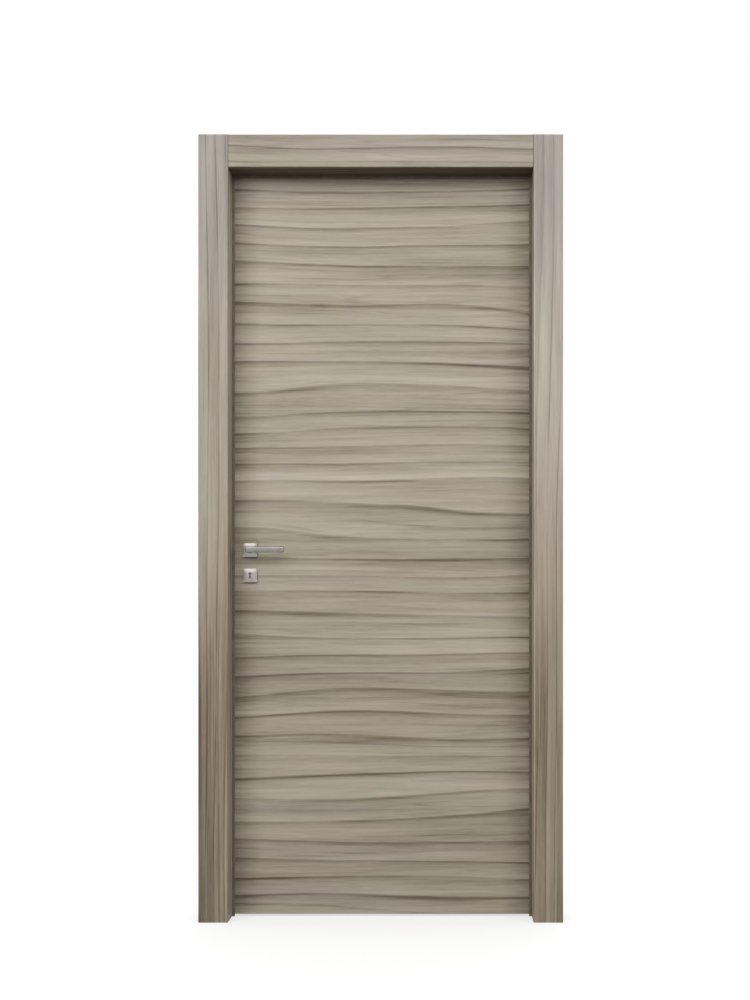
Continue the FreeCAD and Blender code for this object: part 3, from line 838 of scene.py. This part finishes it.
@dataclass
class Levers:
    """The two lever handles: a round neck, an elbow and a soft flat bar."""

    metal: bpy.types.Material
    steel: bpy.types.Material
    bar_thickness: float = 9.0 * MM
    neck_radius: float = 8.0 * MM
    neck_gap: float = 0.4 * MM
    neck_stop: float = 0.5 * MM
    outer_radius: float = 4.5 * MM
    inner_radius: float = 3.5 * MM
    run_in: float = 1.5 * MM
    tip_radius: float = 2.2 * MM
    squaring_rate: float = 2.2
    squaring: float = 2.6
    elbow_power: float = 4.6
    elbow_easing: float = 1.2
    bar_power: float = 3.4
    steps: int = 12
    points: int = 48
    crease: float = 40.0
    grub_place: float = 9.0 * MM
    grub_profile: tuple[Point, ...] = (
        (2.6 * MM, -0.6 * MM), (2.6 * MM, 0.30 * MM), (2.4 * MM, 0.42 * MM),
        (1.5 * MM, 0.42 * MM), (1.4 * MM, 0.1 * MM))
    grub_points: int = 24

    def build(self) -> None:
        """Build both levers and their grub screws."""
        spindle_low, spindle_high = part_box("spindle")
        axis = (spindle_low + spindle_high) / 2
        for side in Side:
            self._lever(side, axis)
            self._grub_screw(side, axis)

    def _section(self, centre: Vector, thick: Vector, half_thick: float, half_high: float,
                 power: float) -> list[Vector]:
        """Place one section of the lever.

        Args:
            centre: Its middle.
            thick: The way its thickness runs.
            half_thick: Half its thickness.
            half_high: Half its height.
            power: How square it is.

        Returns:
            The section's points.
        """
        return [centre + thick * (x * half_thick) + Vector((0, 0, z * half_high))
                for x, z in squircle(1.0, power, self.points)]

    def _neck(self, side: Side, axis: Vector, end: float,
              half_high: float) -> list[list[Vector]]:
        """Draw the neck, round at the plate and squared towards the elbow.

        Args:
            side: The side of the leaf that it is on.
            axis: A point on the axis that the lever turns about.
            end: The depth where the elbow nears.
            half_high: Half the bar's height.

        Returns:
            The sections.
        """
        plate = side.outer(side.named("rosette"))
        start = plate + side.value * self.neck_gap
        places = [(side.inner(side.named("lever")), 0.0), (start, 0.0)]
        for step in range(1, self.steps + 1):
            share = step / self.steps
            places.append((start + (end - plate) * share, min(1.0, share * self.squaring_rate)))
        return [self._section(Vector((axis.x, y, axis.z)), Vector((1, 0, 0)), self.neck_radius,
                              self.neck_radius + (half_high - self.neck_radius) * square,
                              2.0 + self.squaring * square) for y, square in places]

    def _lever(self, side: Side, axis: Vector) -> None:
        """Sweep one lever from its neck to its tip.

        Args:
            side: The side of the leaf that it is on.
            axis: A point on the axis that it turns about.
        """
        node = side.named("lever")
        low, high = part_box(node)
        outward = side.value
        face = side.outer(node)
        half_high = (high.z - low.z) / 2
        half_bar = self.bar_thickness / 2
        bend_y = face - outward * (self.bar_thickness + self.inner_radius)
        rings = self._neck(side, axis, bend_y - outward * self.neck_stop, half_high)
        outer_hub = Vector((axis.x - self.neck_radius + self.outer_radius,
                            face - outward * self.outer_radius, axis.z))
        inner_hub = Vector((axis.x + self.neck_radius + self.inner_radius, bend_y, axis.z))
        for step in range(self.steps + 1):
            share = step / self.steps
            angle = share * math.pi / 2
            turn = Vector((-math.cos(angle), outward * math.sin(angle), 0))
            outer = outer_hub + turn * self.outer_radius
            inner = inner_hub + turn * self.inner_radius
            across = inner - outer
            rings.append(self._section((outer + inner) / 2, across.normalized(),
                                       across.length / 2, half_high,
                                       self.elbow_power - self.elbow_easing * share))
        bar_end = high.x - self.tip_radius
        places = [(inner_hub.x + self.run_in, 0.0), (bar_end, 0.0)]
        tip_steps = self.steps // 2
        for step in range(1, tip_steps + 1):
            angle = step / tip_steps * math.pi / 2
            places.append((bar_end + self.tip_radius * math.sin(angle),
                           self.tip_radius * (1 - math.cos(angle))))
        bar_y = face - outward * half_bar
        thick = Vector((0, -outward, 0))
        for x, inset in places:
            rings.append(self._section(Vector((x, bar_y, axis.z)), thick, half_bar - inset,
                                       half_high - inset, self.bar_power))
        mesh = bmesh.new()
        add_loft(mesh, rings)
        piece = new_piece(f"soft_{node}", mesh, self.metal, Body.LEVERS,
                          self.crease)
        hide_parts(node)

    def _grub_screw(self, side: Side, axis: Vector) -> None:
        """Set the grub screw into the underside of one neck.

        Args:
            side: The side of the leaf.
            axis: A point on the axis that the lever turns about.
        """
        rim = side.outer(side.named("rosette"))
        centre = Vector((axis.x, rim + side.value * self.grub_place,
                         axis.z - self.neck_radius))
        mesh = bmesh.new()
        add_loft(mesh, [[centre + Vector((x, y, -drop))
                         for x, y in squircle(radius, 2.0, self.grub_points)]
                        for radius, drop in self.grub_profile])
        new_piece(side.named("grub_screw"), mesh, self.steel, Body.LEVERS)


@dataclass
class Screws:
    """The raised countersunk screws of the hinges, the faceplate and the strike plate."""

    steel: bpy.types.Material
    radius: float = 4.0 * MM
    rise: float = 0.42 * MM
    foot: float = -0.05 * MM
    edge: float = 0.10 * MM
    recess: float = 0.03 * MM
    arm: float = 2.1 * MM
    half_arm: float = 0.55 * MM
    first_turn: float = 0.4
    turn_step: float = 1.1
    points: int = 48
    crease: float = 50.0
    hinge_screws: int = 4
    columns: tuple[float, float] = (9.0 * MM, 21.5 * MM)
    hinge_gap: float = 3.0 * MM
    end_inset: float = 11.0 * MM

    def build(self) -> None:
        """Build a row of screws on each plate."""
        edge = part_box("hinge_edge_band")[1].x
        for name in ("upper", "middle", "lower"):
            self._row(f"{name}_hinge_jamb_plate", Body.FRAME, -1.0, edge + self.hinge_gap,
                      self._hinge_places)
            self._row(f"{name}_hinge_leaf_plate", Body.LEAF, 1.0, edge, self._hinge_places)
        self._row("strike_plate", Body.FRAME, 1.0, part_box("strike_plate")[1].x,
                  self._end_places)
        self._row("lock_faceplate", Body.LEAF, -1.0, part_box("lock_faceplate")[0].x,
                  self._end_places)

    def _hinge_places(self, low: Vector, high: Vector) -> list[Point]:
        """Place the screws of a hinge plate in two staggered columns.

        Args:
            low: The plate's low corner.
            high: Its high corner.

        Returns:
            Depths and heights of the screws.
        """
        near, far = (low.y + column for column in self.columns)
        step = (high.z - low.z) / (2 * self.hinge_screws)
        return [(near if index % 2 else far, low.z + step * (1 + 2 * index))
                for index in range(self.hinge_screws)]

    def _end_places(self, low: Vector, high: Vector) -> list[Point]:
        """Place a screw near each end of a long plate.

        Args:
            low: The plate's low corner.
            high: Its high corner.

        Returns:
            Depths and heights of the screws.
        """
        leaf_low, leaf_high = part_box("hinge_edge_band")
        middle = (leaf_low.y + leaf_high.y) / 2
        return [(middle, low.z + self.end_inset), (middle, high.z - self.end_inset)]

    def _row(self, node: str, body: Body, outward: float, face: float,
             places: Callable[[Vector, Vector], list[Point]]) -> None:
        """Build the screws of one plate as one piece.

        Args:
            node: The plate.
            body: The body it is on.
            outward: The way its face looks along X.
            face: The face's place along X.
            places: What places the screws.
        """
        mesh = bmesh.new()
        for turn, (depth, height) in enumerate(places(*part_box(node))):
            self._screw(mesh, Vector((face, depth, height)), outward,
                        self.first_turn + self.turn_step * turn)
        new_piece(f"{node}_screws", mesh, self.steel, body, self.crease)

    def _screw(self, mesh: bmesh.types.BMesh, place: Vector, outward: float,
               turn: float) -> None:
        """Add one screw head with a cross recess.

        Args:
            mesh: The mesh to add to.
            place: The head's middle, on the plate's face.
            outward: The way it looks along X.
            turn: The angle of its recess.
        """
        discs = ((1.0, self.foot), (1.0, self.edge), (0.8, self.rise * 0.8), (0.6, self.rise))
        outlines = [(squircle(self.radius * share, 2.0, self.points), rise)
                    for share, rise in discs]
        cross = outline(self.points, self._cross)
        outlines += [(cross, self.rise), (cross, self.recess)]
        cosine, sine = math.cos(turn), math.sin(turn)
        add_loft(mesh, [[place + Vector((outward * rise, y * cosine - z * sine,
                                         y * sine + z * cosine)) for y, z in points]
                        for points, rise in outlines])

    def _cross(self, angle: float) -> float:
        """Find how far out the cross recess is at an angle.

        Args:
            angle: The angle about the screw.

        Returns:
            The distance from its middle.
        """
        off_arm = abs((angle + math.pi / 4) % (math.pi / 2) - math.pi / 4)
        if off_arm <= math.atan2(self.half_arm, self.arm):
            return self.arm / math.cos(off_arm)
        return self.half_arm / math.sin(off_arm)


@dataclass
class SealStrips:
    """The ribbed seals in the stops of the two jambs and the head."""

    rubber: bpy.types.Material
    lip: float = 8.0 * MM
    flange: float = 11.0 * MM
    thickness: float = 3.7 * MM
    groove: tuple[float, float, float] = (3.4 * MM, 3.0 * MM, 2.6 * MM)
    groove_depth: float = 0.5 * MM
    stem_start: float = 5.1 * MM
    stem_end: float = 7.7 * MM
    barb: float = 0.25 * MM
    barb_start: float = 2.4 * MM
    barb_end: float = 2.0 * MM
    rib_pitch: float = 1.5 * MM
    rib_height: float = 0.35 * MM
    round_steps: int = 6
    crease: float = 40.0

    def build(self) -> None:
        """Build the three strips."""
        self._strip("hinge_side_seal", 0, 1)
        self._strip("lock_side_seal", 0, -1)
        self._strip("head_seal", 2, 1)

    def _section(self, foot: float, rear: float) -> list[Point]:
        """Draw the strip: distance out from the passage face, and depth.

        Args:
            foot: The depth where the stem ends in the stop.
            rear: The depth of the ribs.

        Returns:
            The points of the section.
        """
        front = rear - self.thickness
        radius = self.thickness / 2
        points: list[Point] = []
        for step in range(self.round_steps + 1):
            angle = math.pi * (0.5 + step / self.round_steps)
            points.append((-self.lip + radius + radius * math.cos(angle),
                           front + radius + radius * math.sin(angle)))
        outer, bottom, inner = self.groove
        points += [(-outer, front), (-bottom, front + self.groove_depth), (-inner, front)]
        points += [(self.stem_start, front), (self.stem_start, foot + self.barb_start),
                   (self.stem_start - self.barb, foot + self.barb_end),
                   (self.stem_start + self.barb, foot), (self.stem_end - self.barb, foot),
                   (self.stem_end + self.barb, foot + self.barb_end),
                   (self.stem_end, foot + self.barb_start), (self.stem_end, front)]
        points += [(self.flange, front), (self.flange, rear - self.rib_height)]
        ribs = int((self.flange + self.lip - radius) / self.rib_pitch) - 1
        for rib in range(ribs):
            start = self.flange - self.rib_pitch * (rib + 0.5)
            points += [(start, rear), (start - self.rib_pitch / 2, rear - self.rib_height)]
        return points

    def _strip(self, node: str, out_axis: int, way: int) -> None:
        """Extrude one strip.

        Args:
            node: The solid that it stands for.
            out_axis: The axis that leads out from the passage.
            way: The way out along it.
        """
        low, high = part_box(node)
        face = (high if way > 0 else low)[out_axis] - way * self.flange
        run_axis = 2 - out_axis
        rings = []
        for end in (low[run_axis], high[run_axis]):
            ring = []
            for out, depth in self._section(low.y, high.y):
                point = Vector((0, depth, 0))
                point[out_axis] = face + way * out
                point[run_axis] = end
                ring.append(point)
            rings.append(ring)
        mesh = bmesh.new()
        for loop in add_walls(mesh, rings):
            mesh.faces.new(loop)
        piece = new_piece(f"ribbed_{node}", mesh, self.rubber, Body.FRAME,
                          self.crease)
        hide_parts(node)


@dataclass(frozen=True)
class Trim:
    """How the print lies on one architrave."""

    part: str
    grain: Grain
    ring_pitch: float
    sway: float
    shade: float
    heart: float = 0.0
    wash: Tint = (1.0, 1.0, 1.0, 1.0)


@dataclass
class Boards:
    """The laminated leaf, jambs and architraves, and the leaf's inner timber."""

    nodes: dict[str, bpy.types.Object]
    skim: float = 0.05 * MM
    # Painted shade of the frame on the leaf's side edges.
    painted_edge_shade: float = 0.26
    joint: float = 2.5 * MM
    jamb_seed: float = 21.0
    jamb_seed_step: float = 3.5
    trim_seed: float = 40.0
    trim_seed_step: float = 6.7
    trims: tuple[Trim, ...] = (
        Trim("lock_side", Grain.UPRIGHT, 0.027, 0.016, -0.03, 0.52),
        Trim("hinge_side", Grain.UPRIGHT, 0.027, 0.016, -0.03, 0.34),
        Trim("head", Grain.LEVEL, 0.040, 0.03, 0.12, wash=(1.0, 1.0, 1.05, 1.0)),
    )

    def build(self) -> None:
        """Finish every board."""
        self._leaf()
        self._jambs()
        self._architraves()
        self._timber()

    def _cut(self, node: str, axis: int, above: bool) -> Cut:
        """Bare one side of a board, a skim under its surface."""
        low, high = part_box(node)
        return Cut(axis, high[axis] - self.skim if above else low[axis] + self.skim, above)

    def _ends(self, node: str, axis: int) -> tuple[Cut, Cut]:
        """Bare the two cut ends of a board that runs along an axis."""
        return (self._cut(node, axis, True), self._cut(node, axis, False))

    def _leaf(self) -> None:
        """Finish the skins and the edge bands."""
        for side, seed in ((Side.FRONT, 1.3), (Side.REAR, 40.6)):
            node = f"leaf_{side.named('skin')}"
            low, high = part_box(node)
            cuts = (*self._ends(node, 2), self._cut(node, 1, side is Side.FRONT))
            laminate = Laminate(f"{node}_laminate", Grain.LEVEL, seed, painted_edge_shade=self.painted_edge_shade,
                                ends=(low.x, high.x), cuts=cuts)
            dress(self.nodes[node], laminate.material())
        for node, seed in (("lock_edge_band", 5.3), ("hinge_edge_band", 6.8)):
            laminate = Laminate(f"{node}_laminate", Grain.UPRIGHT, seed, ring_pitch=0.03,
                                sway=0.02, lines=0.2)
            dress(self.nodes[node], laminate.material())

    def _jambs(self) -> None:
        """Finish the jambs, bare where they meet the wall."""
        walls = (("hinge_jamb", 0, True), ("lock_jamb", 0, False), ("head_jamb", 2, True))
        seed = self.jamb_seed
        for node, axis, above in walls:
            head = node == "head_jamb"
            grain = Grain.LEVEL if head else Grain.UPRIGHT
            soffit = self._cut(node, 2, False) if head else None
            backs = (self._cut(node, axis, above),)
            for board, bare in ((node, backs), (f"{node}_stop", ())):
                cuts = (*bare, *self._ends(board, grain.value[0]))
                # Painted shade: shade 0.05 darkens the side jambs' print and 0.1 the head's, for
                # the shade in the reveals and under the head; the head jamb's underside and the
                # head stop below it take a much darker painted shade past the soffit's cut.
                laminate = Laminate(f"{board}_laminate", grain, seed, ring_pitch=0.034,
                                    sway=0.022, lines=0.24, rings=0.14,
                                    shade=0.1 if head else 0.05, painted_shade_cut=soffit, cuts=cuts)
                dress(self.nodes[board], laminate.material())
            seed += self.jamb_seed_step

    def _architraves(self) -> None:
        """Finish the six architraves, bare at the back and at their cut ends."""
        seed = self.trim_seed
        for side in Side:
            front = side is Side.FRONT
            back = Cut(1, side.outer("hinge_jamb") + side.value * self.skim, front)
            for trim in self.trims:
                node = side.named(f"architrave_{trim.part}")
                run = trim.grain.value[0]
                low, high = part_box(node)
                jointed = front and trim.grain is Grain.LEVEL
                laminate = Laminate(f"{node}_laminate", trim.grain, seed, trim.ring_pitch,
                                    trim.sway, lines=0.24, rings=0.14, streaks=0.8,
                                    shade=trim.shade, heart=trim.heart, wash=trim.wash,
                                    joint=self.joint if jointed else 0.0,
                                    ends=(low[run], high[run]),
                                    cuts=(back, *self._ends(node, run)))
                dress(self.nodes[node], laminate.material())
                seed += self.trim_seed_step

    def _timber(self) -> None:
        """Finish the stiles, rails, lock block and core."""
        upright = Softwood("upright_softwood", Grain.UPRIGHT).material()
        level = Softwood("level_softwood", Grain.LEVEL).material()
        for node in ("lock_stile", "hinge_stile", "lock_block"):
            dress(self.nodes[node], upright)
        for node in ("top_rail", "bottom_rail"):
            dress(self.nodes[node], level)
        dress(self.nodes["honeycomb_core"], CoreBoard().material())


@dataclass
class Metalwork:
    """The hinges, the lock and the strike plate."""

    nodes: dict[str, bpy.types.Object]
    steel: bpy.types.Material
    bolt_steel: bpy.types.Material

    def build(self) -> None:
        """Finish every steel solid."""
        plates = ["strike_plate", "lock_faceplate", "lock_case"]
        for name in ("upper", "middle", "lower"):
            plates += [f"{name}_hinge_{part}" for part in ("jamb_plate", "leaf_plate", "pin")]
        for node in plates:
            dress(self.nodes[node], self.steel)
        for node in ("latch_bolt", "dead_bolt", "spindle"):
            dress(self.nodes[node], self.bolt_steel)


@dataclass(frozen=True)
class Softbox:
    """A soft oblong lamp aimed at the middle of the door."""

    name: str
    offset: tuple[float, float, float]
    width: float
    height: float
    power: float

    def hang(self, middle: Vector) -> None:
        """Hang the lamp.

        Args:
            middle: The middle of the door.
        """
        data = bpy.data.lights.new(self.name, "AREA")
        data.shape = "RECTANGLE"
        data.size = self.width
        data.size_y = self.height
        data.energy = self.power
        lamp = bpy.data.objects.new(self.name, data)
        lamp.visible_camera = False
        lamp.location = middle + Vector(self.offset)
        lamp.rotation_euler = (-Vector(self.offset)).to_track_quat("-Z", "Y").to_euler()
        bpy.context.scene.collection.objects.link(lamp)
        LOG.info("%s: %.0f W", self.name, self.power)


@dataclass
class Studio:
    """The pale floor, the white surround and the soft lamps."""

    floor_half: float = 40.0
    floor_drop: float = 0.2 * MM
    glow_reach: tuple[float, float] = (1.0, 9.0)
    near_glow: float = 0.63
    far_glow: float = 0.76
    floor_bounce: float = 0.05
    floor_shade: float = 0.30
    horizon: tuple[float, float] = (-0.05, 0.50)
    level_light: float = 0.16
    top_light: float = 1.00
    lamps: tuple[Softbox, ...] = (
        Softbox("front_softbox", (0.1, -3.2, 1.9), 3.0, 2.0, 39.0),
        Softbox("front_left_softbox", (-2.3, -3.0, 1.8), 2.4, 2.0, 41.0),
        Softbox("front_right_softbox", (3.2, -2.4, 1.7), 2.4, 2.0, 30.0),
        Softbox("rear_softbox", (0.4, 3.2, 1.9), 5.0, 2.0, 84.0),
        Softbox("left_side_softbox", (-3.6, 0.55, 0.8), 0.7, 2.0, 26.0),
        Softbox("right_side_softbox", (3.6, 0.55, 0.8), 0.7, 2.0, 26.0),
    )

    def build(self) -> None:
        """Build the floor, the world and the lamps."""
        self._floor()
        self._world()
        low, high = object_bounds()
        for lamp in self.lamps:
            lamp.hang((low + high) / 2)

    def _floor(self) -> None:
        """Lay the floor: white with the door's shadow to the eye, and dim as a light."""
        half = self.floor_half
        mesh = bmesh.new()
        mesh.faces.new([mesh.verts.new((x * half, y * half, -self.floor_drop))
                        for x, y in ((-1, -1), (1, -1), (1, 1), (-1, 1))])
        data = bpy.data.meshes.new("floor")
        mesh.to_mesh(data)
        mesh.free()
        graph = Graph.named("pale_floor")
        seen = self._seen(graph)
        dim, lit = (graph.add("BsdfDiffuse", {"Color": (grey, grey, grey, 1)}).outputs[0]
                    for grey in (self.floor_bounce, self.floor_shade))
        reach = graph.add("VectorMath", {0: graph.place()}, operation="LENGTH")
        glow = graph.smooth(reach.outputs["Value"], *self.glow_reach, self.near_glow,
                            self.far_glow)
        white = graph.add("Emission", {"Color": (1, 1, 1, 1), "Strength": glow})
        both = graph.add("AddShader", {0: lit, 1: white.outputs[0]}).outputs[0]
        mixed = graph.add("MixShader", {0: seen, 1: dim, 2: both})
        graph.add("OutputMaterial", {"Surface": mixed.outputs[0]})
        data.materials.append(graph.owner)
        floor = bpy.data.objects.new("floor", data)
        bpy.context.scene.collection.objects.link(floor)
        floor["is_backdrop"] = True
        LOG.info("floor: %.0f m across", 2 * half)

    @staticmethod
    def _seen(graph: Graph) -> Socket:
        """Mark the rays that show the surround itself.

        Args:
            graph: The nodes to add to.

        Returns:
            The socket of 1 for camera, glossy and transmission rays.
        """
        path = graph.add("LightPath").outputs
        seen = graph.math("MAXIMUM", path["Is Camera Ray"], path["Is Glossy Ray"])
        return graph.math("MAXIMUM", seen, path["Is Transmission Ray"])

    def _world(self) -> None:
        """Surround the scene with white, softer as a light."""
        graph = Graph(bpy.data.worlds.new("white_surround"))
        seen = self._seen(graph)
        up = graph.axes(graph.add("TexCoord").outputs["Generated"])[2]
        light = graph.smooth(up, *self.horizon, self.level_light, self.top_light)
        strength = graph.add("Mix", {0: seen, 2: light, 3: 1.0}, data_type="FLOAT").outputs[0]
        background = graph.add("Background", {"Color": (1, 1, 1, 1), "Strength": strength})
        graph.add("OutputWorld", {"Surface": background.outputs[0]})
        bpy.context.scene.world = graph.owner
        LOG.info("white surround: %.2f level, %.2f from above", self.level_light,
                 self.top_light)


@dataclass
class Viewpoint:
    """A level camera square to the front, placed so that the frame fills the same outline."""

    image_height: float = 1000.0
    image_width: float = 750.0
    left_pixel: float = 198.2
    floor_pixel: float = 922.7
    width_pixels: float = 365.0
    distance: float = 3.31
    eye_height: float = 0.90
    eye_right: float = 0.677
    sensor: float = 36.0

    def build(self) -> None:
        """Place the camera."""
        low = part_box("front_architrave_lock_side")[0]
        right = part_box("front_architrave_hinge_side")[1].x
        scale = self.width_pixels / (right - low.x)
        data = bpy.data.cameras.new("camera")
        data.sensor_width = self.sensor
        data.lens = self.sensor * scale * self.distance / self.image_height
        axis_x = self.left_pixel + scale * self.eye_right
        axis_y = self.floor_pixel - scale * self.eye_height
        data.shift_x = (self.image_width / 2 - axis_x) / self.image_height
        data.shift_y = (axis_y - self.image_height / 2) / self.image_height
        camera = bpy.data.objects.new("camera", data)
        camera.location = (low.x + self.eye_right, low.y - self.distance, self.eye_height)
        camera.rotation_euler = (math.pi / 2, 0, 0)
        bpy.context.scene.collection.objects.link(camera)
        bpy.context.scene.camera = camera
        LOG.info("camera: %.1f mm, shift %.3f %.3f", data.lens, data.shift_x, data.shift_y)


def main() -> None:
    """Build the scene."""
    logging.basicConfig(level=logging.INFO, format="%(name)s: %(message)s")
    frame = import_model()
    bpy.context.scene.view_settings.view_transform = "Standard"
    nickel = SatinMetal("satin_nickel", (132, 129, 122), 0.38).material()
    steel = SatinMetal("satin_steel", (168, 166, 162), 0.32, (900, 60, 900)).material()
    zinc = SatinMetal("zinc_steel", (150, 149, 145), 0.40, (900, 900, 60)).material()
    Boards(frame["nodes"]).build()
    Metalwork(frame["nodes"], steel, zinc).build()
    SealStrips(SealRubber().material()).build()
    # Painted light: the plates take a lighter copy of the levers' nickel, for the light that their
    # domed faces catch.
    bright = SatinMetal("plate_nickel_lit_copy", (162, 154, 150), 0.42).material()
    # The dark metal is painted shade inside the plates' holes.
    dark = SatinMetal("keyhole_painted_shade", (64, 60, 56), 0.5).material()
    HandlePlates(bright, dark).build()
    Levers(nickel, zinc).build()
    Screws(steel).build()
    Studio().build()
    Viewpoint().build()
    bpy.context.view_layer.update()


if __name__ == "__main__":
    main()
